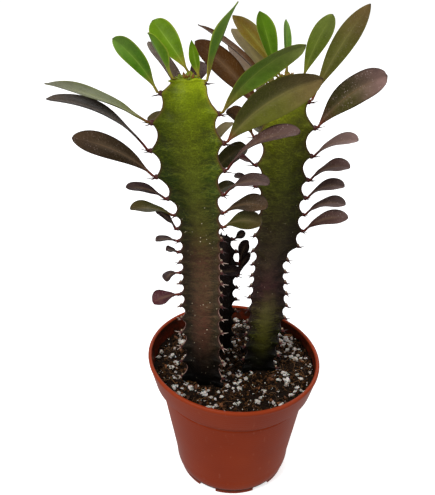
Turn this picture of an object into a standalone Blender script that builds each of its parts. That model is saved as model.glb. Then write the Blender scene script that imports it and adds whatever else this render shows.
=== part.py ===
"""A potted euphorbia: two tall three-ribbed stems and a short one, with their leaves, in a plastic pot.

Run in Blender, it clears the scene and builds one object for each real piece. Lengths are in metres, +Z is
up, and the origin is where the pot's axis meets the surface that the pot stands on. -Y is the front.
"""

import math
from dataclasses import dataclass

import bmesh
import bpy
from mathutils import Matrix, Vector

MM = 0.001

# Pot: a turned shell with an upright collar, a tapered wall, a round heel and a foot with drain notches
POT_HEIGHT = 85 * MM
RIM_RADIUS = 52 * MM
RIM_SQUEEZE = 2.2 * MM
LIP_WIDTH = 2.2 * MM
COLLAR_DEPTH = 16 * MM
COLLAR_TAPER = 3.6 * MM
COLLAR_STEP = 3.4 * MM
STEP_HEIGHT = 2 * MM
HEEL_RADIUS = 36.5 * MM
HEEL_HEIGHT = 13.5 * MM
FOOT_RADIUS = 34 * MM
FOOT_HEIGHT = 3.5 * MM
WALL = 1.2 * MM
FLOOR = 2 * MM
DRAIN_COUNT = 6
DRAIN_WIDTH = 11.5 * MM
DRAIN_LENGTH = 9 * MM
DRAIN_HEIGHT = 3 * MM
DRAIN_FIRST_DEG = 243
TURNED_STEPS = 48
TURNED_MERGE = 0.01 * MM
HEEL_PIECES = 3
LIP_PIECES = 4
SHARP_DEG = 40

# Potting mix
MIX_HEADSPACE = 6 * MM
MIX_MOUND = 1.5 * MM
MOUND_SHOULDER = 0.7  # share of the mound that is left half way to the pot's wall
POCKET_TOP = 8 * MM
FIT_GAP = 0.3 * MM

# Stems: three ribs each, with a tooth on every third node of a spiral that runs down from the tip
RIBS = 3
TALL_HEIGHT = 177 * MM  # of the left stem, from the mix to its tip
RIGHT_SHORTFALL = 3 * MM
BACK_HEIGHT = 79 * MM
BURIED = 20 * MM
BURIED_TAPER = 0.8
BUD_NODES = 3
BUD_STEP = 0.6 * MM
SCALLOP_SHARE = 0.3
RIB_EDGE = 1.6 * MM
FACE_PROFILE = ((30, 0.56), (60, 0.52), (90, 0.56))  # degrees past a rib, and share of its reach

# Leaves: a spoon-shaped blade on a short stalk
STALK = 1.3 * MM
BLADE_THICKNESS = 1.1 * MM
BLADE_TIP = 0.8 * MM
BLADE_FOLD = 0.22
BLADE_FULLNESS = 1.5  # above 1, the widest place lies past the middle
BLADE_ROUNDNESS = 0.8  # below 1, the blade's outline is rounder than a sine
LEAF_COLOUR = (0.06, 0.09, 0.02, 1)
LEAF_STATIONS = (0, 0.14, 0.28, 0.44, 0.6, 0.76, 0.89, 0.97, 1)


@dataclass
class Stem:
    """A stem from where its middle meets the mix to its tip. Keys run over the share of its height."""

    name: str
    foot: tuple
    height: float
    drift: tuple  # (share, x, y) of the middle, measured from the foot
    radius: tuple  # (share, middle to tooth)
    turn: tuple  # (share, direction in degrees that the first rib faces)
    spacing: tuple  # (share, height between two teeth of one rib)
    colour: tuple

    def middle(self, height):
        share = height / self.height
        return Vector(
            (
                self.foot[0] + through([(k[0], k[1]) for k in self.drift], share),
                self.foot[1] + through([(k[0], k[2]) for k in self.drift], share),
                MIX_TOP + height,
            )
        )

    def rib_direction(self, rib, height):
        """The flat unit vector from the middle towards a rib. Ribs are counted against the sun's way."""
        turn = through(self.turn, height / self.height) - rib * 360 / RIBS
        return Vector((math.cos(math.radians(turn)), math.sin(math.radians(turn)), 0))

    def reach(self, height):
        """From the middle to a tooth at a height. It tapers below the mix."""
        depth = max(-height, 0) / BURIED
        return through(self.radius, height / self.height) * (1 - (1 - BURIED_TAPER) * depth)

    def nodes(self):
        """The height of each node, from the tip down. Node n is a tooth of rib n % RIBS."""
        heights = [self.height - BUD_STEP]
        while heights[-1] > 0:
            step = BUD_STEP
            if len(heights) > BUD_NODES:
                step = through(self.spacing, heights[-1] / self.height) / RIBS
            heights.append(heights[-1] - step)
        return heights[:-1]

    def tooth(self, node):
        """The point of the tooth at a node, and the way that it faces."""
        height = self.nodes()[node]
        out = self.rib_direction(node % RIBS, height)
        return self.middle(height) + out * self.reach(height), out


@dataclass
class Leaf:
    """A leaf on the tooth at a node. Angles are in degrees."""

    node: int
    length: float
    width: float
    rise: float  # how steeply it leaves the tooth
    droop: float  # how far it bends down from there to its tip
    swing: float  # how far it turns to the left of the way that the tooth faces, seen from above
    roll: float  # how far the blade turns about its midrib, its right edge up

    def width_at(self, share):
        if share == 1:
            return BLADE_TIP
        return max(STALK, self.width * math.sin(math.pi * share**BLADE_FULLNESS) ** BLADE_ROUNDNESS)

    def thickness_at(self, share):
        return BLADE_THICKNESS * (1 - share / 2)

    def rings(self, stem):
        """Diamond sections along the arched midrib, folded up at both edges of the blade."""
        tooth, out = stem.tooth(self.node)
        point = tooth + out * (STALK / 2 + FIT_GAP)
        heading = math.atan2(out.y, out.x) + math.radians(self.swing)
        ahead = Vector((math.cos(heading), math.sin(heading), 0))
        level = Vector((ahead.y, -ahead.x, 0))
        roll = math.radians(self.roll)
        rings = []
        before = 0
        for share in LEAF_STATIONS:
            middle_pitch = math.radians(self.rise - self.droop * (before + share) / 2)
            step = ahead * math.cos(middle_pitch) + Vector((0, 0, math.sin(middle_pitch)))
            point = point + step * self.length * (share - before)
            before = share
            pitch = math.radians(self.rise - self.droop * share)
            normal = Vector((0, 0, math.cos(pitch))) - ahead * math.sin(pitch)
            side = level * math.cos(roll) + normal * math.sin(roll)
            face = normal * math.cos(roll) - level * math.sin(roll)
            half = self.width_at(share) / 2
            edge = face * half * BLADE_FOLD
            mid = face * self.thickness_at(share) / 2
            rings.append([point - side * half + edge, point - mid, point + side * half + edge, point + mid])
        return rings


def through(keys, x):
    """The value at x of a smooth curve through (x, value) keys, which stays flat past its ends."""
    if x <= keys[0][0]:
        return keys[0][1]
    for i in range(len(keys) - 1):
        (x0, y0), (x1, y1) = keys[i], keys[i + 1]
        if x <= x1:
            slopes = []
            for j in (i, i + 1):
                (xa, ya), (xb, yb) = keys[max(j - 1, 0)], keys[min(j + 1, len(keys) - 1)]
                slopes.append((yb - ya) / (xb - xa) * (x1 - x0))
            t = (x - x0) / (x1 - x0)
            return (
                y0 * (2 * t**3 - 3 * t**2 + 1)
                + slopes[0] * (t**3 - 2 * t**2 + t)
                + y1 * (3 * t**2 - 2 * t**3)
                + slopes[1] * (t**3 - t**2)
            )
    return keys[-1][1]


MIX_TOP = POT_HEIGHT - MIX_HEADSPACE

LEFT = Stem(
    name="stem_left",
    foot=(-16 * MM, -12.2 * MM),
    height=TALL_HEIGHT,
    drift=(
        (0, 0, 0),
        (0.32, -0.6 * MM, 1 * MM),
        (0.59, -1.3 * MM, 2 * MM),
        (0.72, -5 * MM, 3.5 * MM),
        (0.86, -6.8 * MM, 5 * MM),
        (1, -6.6 * MM, 6 * MM),
    ),
    radius=(
        (0, 14.7 * MM),
        (0.3, 13.6 * MM),
        (0.57, 13.6 * MM),
        (0.66, 16.2 * MM),
        (0.72, 19.4 * MM),
        (0.82, 21 * MM),
        (0.905, 18.6 * MM),
        (0.965, 14.2 * MM),
        (0.985, 10 * MM),
        (1, 4 * MM),
    ),
    turn=((0, 315), (1, 330)),
    spacing=(
        (0, 12 * MM),
        (0.25, 9 * MM),
        (0.42, 6.5 * MM),
        (0.6, 8 * MM),
        (0.74, 13.3 * MM),
        (1, 13.3 * MM),
    ),
    colour=(0.07, 0.11, 0.02, 1),
)
RIGHT = Stem(
    name="stem_right",
    foot=(16 * MM, -0.5 * MM),
    height=TALL_HEIGHT - RIGHT_SHORTFALL,
    drift=(
        (0, 0, 0),
        (0.25, 3.8 * MM, 4.5 * MM),
        (0.4, 4.3 * MM, 7 * MM),
        (0.48, 7.7 * MM, 8 * MM),
        (0.6, 8.5 * MM, 8 * MM),
        (1, 9.8 * MM, 8 * MM),
    ),
    radius=(
        (0, 12 * MM),
        (0.14, 12.4 * MM),
        (0.25, 13 * MM),
        (0.34, 11.4 * MM),
        (0.405, 11.3 * MM),
        (0.465, 14.6 * MM),
        (0.6, 14.9 * MM),
        (0.75, 16.3 * MM),
        (0.86, 17 * MM),
        (0.93, 12.6 * MM),
        (0.98, 8 * MM),
        (1, 4 * MM),
    ),
    turn=((0, 330), (1, 330)),
    spacing=(
        (0, 9 * MM),
        (0.25, 8 * MM),
        (0.36, 6.5 * MM),
        (0.45, 9.5 * MM),
        (0.68, 10.5 * MM),
        (0.8, 15.5 * MM),
        (0.9, 13 * MM),
        (1, 8 * MM),
    ),
    colour=(0.05, 0.07, 0.015, 1),
)
BACK = Stem(
    name="stem_back",
    foot=(-8.5 * MM, 14.5 * MM),
    height=BACK_HEIGHT,
    drift=((0, 0, 0), (1, 1.5 * MM, 1 * MM)),
    radius=(
        (0, 9.5 * MM),
        (0.8, 9.5 * MM),
        (0.93, 7.5 * MM),
        (0.98, 5.5 * MM),
        (1, 3 * MM),
    ),
    turn=((0, 0), (1, 0)),
    spacing=((0, 9 * MM), (1, 8 * MM)),
    colour=(0.02, 0.012, 0.015, 1),
)
STEMS = (LEFT, RIGHT, BACK)

# Each leaf by the node that it grows on: length and width in mm, then rise, droop, swing and roll
LEAVES = {
    "stem_left": {
        0: (18, 5, 104, 5, 60, -50),
        1: (25, 10, 66, 5, 0, -10),
        2: (31, 12, 53, 10, 60, 50),
        3: (41, 10, 76, 20, 0, 0),
        4: (34, 10.5, 66, 25, 0, 75),
        5: (19, 9, 39, 20, -20, -25),
        6: (56, 12, 59, 35, 0, 45),
        7: (53, 12, 38, 20, 0, 15),
        8: (43, 10, 60, 20, 60, 5),
        9: (62, 16, 56, 35, 0, 75),
        10: (57, 12, 60, 50, 0, 15),
        11: (40, 9, 18, 30, 50, 50),
        12: (49, 11, 60, 50, 0, -25),
        13: (47, 11, 52, 35, 0, 70),
        14: (31, 9, 49, 30, -40, 5),
        15: (30, 9, 56, 60, 0, -25),
        16: (23, 6, 47, 40, 0, 35),
        17: (37, 10, 44, 40, -40, -40),
        18: (29, 10, 48, 50, 0, -35),
        19: (24, 8, 40, 40, 0, 20),
        20: (23, 7, 32, 40, -40, -30),
        21: (26, 10, 47, 50, 0, -50),
        22: (16, 6, 70, 40, 0, 35),
        25: (12, 6, 32, 40, 0, 5),
        28: (7, 5, 42, 40, 0, 15),
        34: (9, 6, 20, 90, 0, 20),
        40: (15, 10, 6, 30, 0, 20),
    },
    "stem_right": {
        1: (34, 9, 76, 10, 0, -45),
        2: (32, 6, 49, 10, 0, -40),
        3: (35, 10, 78, 20, 0, 65),
        4: (46, 8, 51, 25, -40, 5),
        5: (49, 9, 47, 20, 45, 25),
        6: (54, 11, 70, 15, 0, 70),
        7: (46, 12, 57, 25, -40, 65),
        8: (50, 9, 53, 20, 50, 15),
        9: (45, 13.5, 62, 37, 0, -80),
        10: (23, 9, 63, 30, 0, -50),
        11: (57, 9, 53, 20, 45, 10),
        12: (27, 9, 55, 50, 0, -25),
        13: (12, 5, 47, 30, 0, 30),
        14: (24, 9, 50, 40, 45, 0),
        15: (25, 9, 59, 60, 0, -25),
        16: (15, 6, 53, 40, 0, 20),
        17: (24, 8, 57, 55, -10, 10),
        18: (24, 8, 60, 60, 0, -30),
        20: (22, 8, 55, 55, -5, -15),
        21: (26, 8, 58, 60, 0, -25),
        24: (29, 8, 56, 50, 0, -50),
    },
    "stem_back": {
        3: (8, 5, 40, 10, 0, -50),
        8: (12, 6, 55, 20, 0, 0),
        9: (17, 7, 78, 10, -10, -65),
        10: (19, 7, 35, 30, 100, -35),
        12: (17, 7, 87, 40, 0, -40),
    },
}


def clear_scene():
    for found in list(bpy.data.objects):
        bpy.data.objects.remove(found)


def new_collection(name):
    collection = bpy.data.collections.new(name)
    bpy.context.scene.collection.children.link(collection)
    return collection


def material(name, colour, roughness):
    made = bpy.data.materials.new(name)
    made.use_nodes = True
    shader = made.node_tree.nodes["Principled BSDF"]
    shader.inputs["Base Color"].default_value = colour
    shader.inputs["Roughness"].default_value = roughness
    shader.inputs["Metallic"].default_value = 0
    return made


def add(collection, name, mesh, wears=None, place=(0, 0, 0)):
    made = bpy.data.objects.new(name, mesh)
    made.location = place
    collection.objects.link(made)
    if wears:
        mesh.materials.append(wears)
    return made


def mesh_from(name, points, faces):
    """A smooth mesh with its faces turned outwards."""
    bm = bmesh.new()
    verts = [bm.verts.new(p) for p in points]
    for face in faces:
        bm.faces.new([verts[i] for i in face])
    bmesh.ops.recalc_face_normals(bm, faces=bm.faces)
    mesh = bpy.data.meshes.new(name)
    bm.to_mesh(mesh)
    bm.free()
    mesh.shade_smooth()
    mesh.set_sharp_from_angle(angle=math.radians(SHARP_DEG))
    return mesh


def loft(name, rings):
    """A closed skin over rings that all have the same number of points."""
    count = len(rings[0])
    points = [p for ring in rings for p in ring]
    faces = [tuple(range(count)), tuple(range(len(points) - count, len(points)))]
    for lower in range(0, len(points) - count, count):
        for i in range(count):
            j = (i + 1) % count
            faces.append((lower + i, lower + j, lower + count + j, lower + count + i))
    return mesh_from(name, points, faces)


def arc(centre, radius, first, last, pieces):
    """Points on a circle from one angle to another, in degrees, both ends included."""
    angles = [math.radians(first + (last - first) * i / pieces) for i in range(pieces + 1)]
    return [(centre[0] + radius * math.cos(a), centre[1] + radius * math.sin(a)) for a in angles]


def outline(low):
    """The pot's outside from its rim to the axis at a height, as (radius, height), without lip and foot."""
    collar_end = POT_HEIGHT - COLLAR_DEPTH
    collar_foot = RIM_RADIUS - COLLAR_TAPER
    heel = [math.radians(90 * i / HEEL_PIECES) for i in range(HEEL_PIECES + 1)]
    return [
        (RIM_RADIUS, POT_HEIGHT),
        (collar_foot, collar_end),
        (collar_foot - COLLAR_STEP, collar_end - STEP_HEIGHT),
        *(
            (
                FOOT_RADIUS + (HEEL_RADIUS - FOOT_RADIUS) * math.cos(a),
                HEEL_HEIGHT + (low - HEEL_HEIGHT) * math.sin(a),
            )
            for a in heel
        ),
        (0, low),
    ]


def inset(points, distance):
    """An outline moved inwards by a distance, its corners mitred."""
    points = [Vector(p) for p in points]
    runs = [(b - a).normalized() for a, b in zip(points, points[1:])]
    normals = [Vector((run.y, -run.x)) for run in runs]
    moved = []
    for point, before, after in zip(points, normals[:1] + normals, normals + normals[-1:]):
        moved.append(tuple(point + (before + after) * distance / (1 + before.dot(after))))
    return moved


def squeeze_cage(collection):
    """A box round the pot whose top is pressed to an oval, long from the back left to the front right."""
    cage = bpy.data.lattices.new("squeeze")
    cage.interpolation_type_u = cage.interpolation_type_v = cage.interpolation_type_w = "KEY_LINEAR"
    made = add(collection, "squeeze", cage, place=(0, 0, POT_HEIGHT / 2))
    made.scale = (2 * RIM_RADIUS, 2 * RIM_RADIUS, POT_HEIGHT)
    made.hide_render = True
    for point in cage.points:
        x, y, z = point.co
        if z > 0:
            share = RIM_SQUEEZE / RIM_RADIUS
            point.co_deform = (x - share * y, y - share * x, z)
    return made


def turned(collection, name, profile, wears, cage):
    """A body turned from (radius, height) points from axis to axis, then squeezed by the cage."""
    bm = bmesh.new()
    verts = [bm.verts.new((r, 0, z)) for r, z in profile]
    for a, b in zip(verts, verts[1:]):
        bm.edges.new((a, b))
    mesh = bpy.data.meshes.new(name)
    bm.to_mesh(mesh)
    bm.free()
    made = add(collection, name, mesh, wears)
    screw = made.modifiers.new("Turn", "SCREW")
    screw.steps = screw.render_steps = TURNED_STEPS
    screw.use_merge_vertices = True
    screw.merge_threshold = TURNED_MERGE
    made.modifiers.new("Squeeze", "LATTICE").object = cage
    return made


def cut(body, cutter, name, solver="EXACT"):
    cutter.hide_render = True
    cutter.display_type = "WIRE"
    boolean = body.modifiers.new(name, "BOOLEAN")
    boolean.object = cutter
    boolean.operation = "DIFFERENCE"
    boolean.solver = solver


def drain_cutter(collection):
    """One slot for each drain notch, through the foot's edge and the floor inside it."""
    bm = bmesh.new()
    for i in range(DRAIN_COUNT):
        angle = math.radians(DRAIN_FIRST_DEG + 360 * i / DRAIN_COUNT)
        made = bmesh.ops.create_cube(bm, size=1)["verts"]
        bmesh.ops.scale(bm, vec=(2 * DRAIN_LENGTH, DRAIN_WIDTH, 2 * DRAIN_HEIGHT), verts=made)
        bmesh.ops.translate(bm, vec=(FOOT_RADIUS, 0, 0), verts=made)
        bmesh.ops.rotate(bm, verts=made, matrix=Matrix.Rotation(angle, 3, "Z"))
    mesh = bpy.data.meshes.new("drain_cutter")
    bm.to_mesh(mesh)
    bm.free()
    return add(collection, "drain_cutter", mesh)


def build_pot(parts, cutters, cage):
    lip = LIP_WIDTH / 2
    inside = inset(outline(FLOOR - WALL), WALL)
    profile = [
        *reversed(inside[1:]),
        at_height(inside, POT_HEIGHT - 2 * LIP_WIDTH),
        *arc((RIM_RADIUS - lip, POT_HEIGHT - lip), lip, 180, 0, LIP_PIECES),
        *outline(FOOT_HEIGHT)[1:-1],
        (FOOT_RADIUS, 0),
        (0, 0),
    ]
    wears = material("terracotta_plastic", (0.32, 0.07, 0.025, 1), 0.4)
    pot = turned(parts, "pot", profile, wears, cage)
    # The exact solver leaves nothing of this thin shell.
    cut(pot, drain_cutter(cutters), "Drains", "MANIFOLD")


def build_mix(parts, cutters, cage):
    """The mix fills the pot to below its lip, with a pocket for each stem's buried end."""
    side = inset(outline(FLOOR - WALL), WALL + FIT_GAP)
    edge = at_height(side, MIX_TOP)
    mound = [(0, MIX_TOP + MIX_MOUND), (edge[0] / 2, MIX_TOP + MIX_MOUND * MOUND_SHOULDER)]
    wears = material("potting_mix", (0.03, 0.018, 0.012, 1), 1)
    mix = turned(parts, "potting_mix", [*mound, edge, *side[1:]], wears, cage)
    for stem in STEMS:
        heights = [-BURIED - FIT_GAP, *(h for h in stations(stem)[1:] if h < POCKET_TOP)]
        pocket = loft(stem.name + "_pocket", [section(stem, h, FIT_GAP) for h in heights])
        cut(mix, add(cutters, stem.name + "_pocket", pocket), stem.name)


def at_height(profile, height):
    """The point at a height on the first, straight run of a profile."""
    (r0, z0), (r1, z1) = profile[:2]
    return r0 + (r1 - r0) * (height - z0) / (z1 - z0), height


def edge_reach(stem, rib, height):
    """From the middle to a rib's edge: the stem's reach at each tooth, less a round scallop in between."""
    reach = stem.reach(height)
    teeth = [h for n, h in enumerate(stem.nodes()) if n % RIBS == rib]
    if height <= 0 or height > teeth[0]:
        return reach
    above = min(h for h in teeth if h >= height)
    below = max((h for h in teeth if h < height), default=0)
    share = (height - below) / (above - below)
    return reach - SCALLOP_SHARE * (above - below) * (1 - (2 * share - 1) ** 2)


def section(stem, height, grow=0):
    """The ring round the stem at a height: for each rib its edge's two corners, then the face beside it."""
    middle = stem.middle(height)
    ring = []
    for rib in range(RIBS):
        out = stem.rib_direction(rib, height)
        side = Vector((out.y, -out.x, 0))
        edge = middle + out * (edge_reach(stem, rib, height) + grow)
        ring += [edge - side * (RIB_EDGE / 2 + grow), edge + side * (RIB_EDGE / 2 + grow)]
        for degrees, share in FACE_PROFILE:
            a = math.radians(degrees)
            face = out * math.cos(a) + side * math.sin(a)
            ring += [middle + face * (stem.reach(height) * share + grow)]
    return ring


def stations(stem):
    """The heights of a stem's rings: its buried end, the mix, every node and the tip."""
    return [-BURIED, 0, *reversed(stem.nodes()), stem.height]


def build_stem(parts, stem):
    place = stem.middle(0)
    rings = [[p - place for p in section(stem, h)] for h in stations(stem)]
    add(parts, stem.name, loft(stem.name, rings), material(stem.name, stem.colour, 0.5), place)


def build_leaves(parts, stem):
    wears = material(stem.name + "_leaf", LEAF_COLOUR, 0.4)
    for node, (length, width, *angles) in LEAVES[stem.name].items():
        leaf = Leaf(node, length * MM, width * MM, *angles)
        name = stem.name.replace("stem", "leaf") + f"_{node:02d}"
        place = stem.tooth(node)[0]
        rings = [[p - place for p in ring] for ring in leaf.rings(stem)]
        add(parts, name, loft(name, rings), wears, place)


def main():
    clear_scene()
    parts = new_collection("potted_euphorbia")
    cutters = new_collection("cutters")
    cage = squeeze_cage(cutters)
    build_pot(parts, cutters, cage)
    build_mix(parts, cutters, cage)
    for stem in STEMS:
        build_stem(parts, stem)
        build_leaves(parts, stem)


main()
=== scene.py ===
import bisect
import math
import random

import bmesh
import bpy
import numpy as np
from mathutils import Matrix, Vector, noise


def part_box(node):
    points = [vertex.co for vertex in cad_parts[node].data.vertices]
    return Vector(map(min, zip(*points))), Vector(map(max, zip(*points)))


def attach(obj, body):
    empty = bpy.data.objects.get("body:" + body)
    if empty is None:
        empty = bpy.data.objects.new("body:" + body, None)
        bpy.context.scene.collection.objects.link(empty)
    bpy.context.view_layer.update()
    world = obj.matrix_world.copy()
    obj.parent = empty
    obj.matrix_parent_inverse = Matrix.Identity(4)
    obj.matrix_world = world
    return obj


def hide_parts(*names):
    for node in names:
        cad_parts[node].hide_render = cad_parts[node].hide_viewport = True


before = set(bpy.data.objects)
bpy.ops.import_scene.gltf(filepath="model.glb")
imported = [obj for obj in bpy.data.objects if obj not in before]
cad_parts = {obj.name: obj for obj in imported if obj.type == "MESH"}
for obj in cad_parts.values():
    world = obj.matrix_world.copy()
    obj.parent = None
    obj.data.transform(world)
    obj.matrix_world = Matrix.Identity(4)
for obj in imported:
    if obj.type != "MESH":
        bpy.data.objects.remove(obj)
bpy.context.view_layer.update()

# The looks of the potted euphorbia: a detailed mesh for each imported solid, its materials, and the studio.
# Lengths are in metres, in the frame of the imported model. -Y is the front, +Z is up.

MM = 0.001
BODY = "root"
POT_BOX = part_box("pot")
MIX_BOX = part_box("potting_mix")

# Pot: the CAD's profile with rounded corners
POT_HEIGHT = POT_BOX[1].z
RIM_RADIUS = POT_BOX[1].x
RIM_SQUEEZE = 2.2 * MM
LIP_WIDTH = 2.2 * MM
COLLAR_DEPTH = 16 * MM
COLLAR_TAPER = 3.6 * MM
COLLAR_STEP = 3.4 * MM
STEP_HEIGHT = 2 * MM
HEEL_RADIUS = 36.5 * MM
HEEL_HEIGHT = 13.5 * MM
FOOT_RADIUS = 34 * MM
FOOT_HEIGHT = 3.5 * MM
WALL = 1.2 * MM
FLOOR = 2 * MM
DRAIN_COUNT = 6
DRAIN_WIDTH = 11.5 * MM
DRAIN_LENGTH = 9 * MM
DRAIN_HEIGHT = 3 * MM
DRAIN_FIRST_DEG = 243
TURNED_STEPS = 224
ARC_PIECES = 5

# Potting mix
MIX_MOUND = 1.5 * MM
MIX_TOP = MIX_BOX[1].z - MIX_MOUND
HOLLOW = 2.6 * MM
FAR_SINK = 3 * MM
BED_DROP = 1.2 * MM
BED_LUMPS = 1.5 * MM
BED_GRIT = 0.5 * MM
BED_ROWS = 62
BED_STEPS = 200
MIX_GAP = 0.3 * MM

# Loose pieces on the mix: how many, and perlite sizes in mm
PERLITE = ((30, 3.2, 4.4), (95, 2.2, 3.2), (90, 1.1, 2.2))
GRAIN_CROWD = 0.62
STEM_CLEAR = 0.62
CRUMBS = 2300
CHIPS = 90
FIBRES = 260
DUST = 260

# Stems: the CAD's ribs and teeth
RIBS = 3
BURIED = 20 * MM
BUD_NODES = 3
BUD_STEP = 0.6 * MM
SCALLOP_SHARE = 0.3
RIB_EDGE = 1.6 * MM
RING_STEP = 0.5 * MM
CURVE_PIECES = 3
MARGIN_STEP = 0.45 * MM
BUD_SCALES = 8

# Leaves: the CAD's blades, with fuller outlines
STALK = 1.3 * MM
LEAF_GAP = 0.3 * MM
BLADE_FOLD = 0.22
STATIONS = 44
HALF_COLUMNS = 9

# Studio: each lamp's place, size and power, in metres and watts
LAMPS = {
    "key": ((-0.8, -0.8, 1.25), 0.6, 13),
    "fill": ((0.95, -0.65, 0.6), 0.8, 2.4),
    "back": ((0.25, 0.95, 0.95), 0.9, 5),
}
LIT_POINT = Vector((0, 0, 0.14))
WORLD_LIGHT = 0.52
FLOOR_SPAN = 12
FLOOR_GLOW = 0.55
CAMERA_LENS = 46.98
CAMERA_PLACE = (0, -0.31217, 0.3351)
CAMERA_TURNS = ((1.67, "Z"), (60.55, "X"), (-0.25, "Z"))


def srgb(red, green, blue):
    """A linear colour from display values of 0 to 255."""
    shares = (max(c, 0) / 255 for c in (red, green, blue))
    return (*(c / 12.92 if c < 0.04 else ((c + 0.055) / 1.055) ** 2.4 for c in shares), 1.0)


def through(keys, x):
    """The value at x of a smooth curve through (x, value) keys, which stays flat past its ends."""
    if x <= keys[0][0]:
        return keys[0][1]
    for i in range(len(keys) - 1):
        (x0, y0), (x1, y1) = keys[i], keys[i + 1]
        if x <= x1:
            slopes = []
            for j in (i, i + 1):
                (xa, ya), (xb, yb) = keys[max(j - 1, 0)], keys[min(j + 1, len(keys) - 1)]
                slopes.append((yb - ya) / (xb - xa) * (x1 - x0))
            t = (x - x0) / (x1 - x0)
            return (
                y0 * (2 * t**3 - 3 * t**2 + 1)
                + slopes[0] * (t**3 - 2 * t**2 + t)
                + y1 * (3 * t**2 - 2 * t**3)
                + slopes[1] * (t**3 - t**2)
            )
    return keys[-1][1]


def smooth(low, high, x):
    """0 below low, 1 above high, and an even S in between."""
    t = min(max((x - low) / (high - low), 0), 1)
    return t * t * (3 - 2 * t)


class Stem:
    """A stem from where its middle meets the mix to its tip, in mm. Keys run over the share of its height."""

    def __init__(self, name, foot, height, drift, radius, crown, turn, spacing):
        self.name = name
        self.crown = crown * MM
        self.height = height * MM
        self.drift_x = [(k[0], (foot[0] + k[1]) * MM) for k in drift]
        self.drift_y = [(k[0], (foot[1] + k[2]) * MM) for k in drift]
        self.radius = [(k[0], k[1] * MM) for k in radius]
        self.turn = turn
        self.spacing = [(k[0], k[1] * MM) for k in spacing]
        self.nodes = self.node_heights()
        self.teeth = [sorted(h for n, h in enumerate(self.nodes) if n % RIBS == rib) for rib in range(RIBS)]

    def node_heights(self):
        """The height of each node, from the tip down. Node n is a tooth of rib n % RIBS."""
        heights = [self.height - BUD_STEP]
        while heights[-1] > 0:
            step = BUD_STEP
            if len(heights) > BUD_NODES:
                step = through(self.spacing, heights[-1] / self.height) / RIBS
            heights.append(heights[-1] - step)
        return heights[:-1]

    def middle(self, height):
        share = height / self.height
        return Vector((through(self.drift_x, share), through(self.drift_y, share), MIX_TOP + height))

    def rib_direction(self, rib, height):
        turn = math.radians(through(self.turn, height / self.height) - rib * 360 / RIBS)
        return Vector((math.cos(turn), math.sin(turn), 0))

    def reach(self, height):
        """From the middle to a tooth at a height."""
        return through(self.radius, height / self.height)

    def tooth(self, node):
        height = self.nodes[node]
        out = self.rib_direction(node % RIBS, height)
        return self.middle(height) + out * self.reach(height), out

    def phase(self, rib, height):
        """Where a height lies in a rib's row of teeth, and the gap there: whole numbers are teeth."""
        teeth = self.teeth[rib]
        i = bisect.bisect_left(teeth, height)
        below = teeth[i - 1] if i else 0
        above = teeth[i] if i < len(teeth) else teeth[-1] + 2 * MM
        return i + (height - below) / (above - below), above - below


STEMS = (
    Stem(
        "stem_left",
        foot=(-16, -12.2),
        height=177,
        drift=((0, 0, 0), (0.32, -0.6, 1), (0.59, -1.3, 2), (0.72, -5, 3.5), (0.86, -6.8, 5), (1, -6.6, 6)),
        radius=(
            (0, 14.7), (0.3, 13.6), (0.57, 13.6), (0.66, 16.2), (0.72, 19.4), (0.82, 21), (0.905, 18.6),
            (0.965, 14.2), (0.985, 10), (1, 4),
        ),
        crown=10.4,
        turn=((0, 315), (1, 330)),
        spacing=((0, 12), (0.25, 9), (0.42, 6.5), (0.6, 8), (0.74, 13.3), (1, 13.3)),
    ),
    Stem(
        "stem_right",
        foot=(16, -0.5),
        height=174,
        drift=((0, 0, 0), (0.25, 3.8, 4.5), (0.4, 4.3, 7), (0.48, 7.7, 8), (0.6, 8.5, 8), (1, 9.8, 8)),
        radius=(
            (0, 12), (0.14, 12.4), (0.25, 13), (0.34, 11.4), (0.405, 11.3), (0.465, 14.6), (0.6, 14.9),
            (0.75, 16.3), (0.86, 17), (0.93, 12.6), (0.98, 8), (1, 4),
        ),
        crown=7,
        turn=((0, 330), (1, 330)),
        spacing=((0, 9), (0.25, 8), (0.36, 6.5), (0.45, 9.5), (0.68, 10.5), (0.8, 15.5), (0.9, 13), (1, 8)),
    ),
    Stem(
        "stem_back",
        foot=(-8.5, 14.5),
        height=79,
        drift=((0, 0, 0), (1, 1.5, 1)),
        radius=((0, 9.5), (0.8, 9.5), (0.93, 7.5), (0.98, 5.5), (1, 3)),
        crown=3,
        turn=((0, 0), (1, 0)),
        spacing=((0, 9), (1, 8)),
    ),
)

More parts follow.
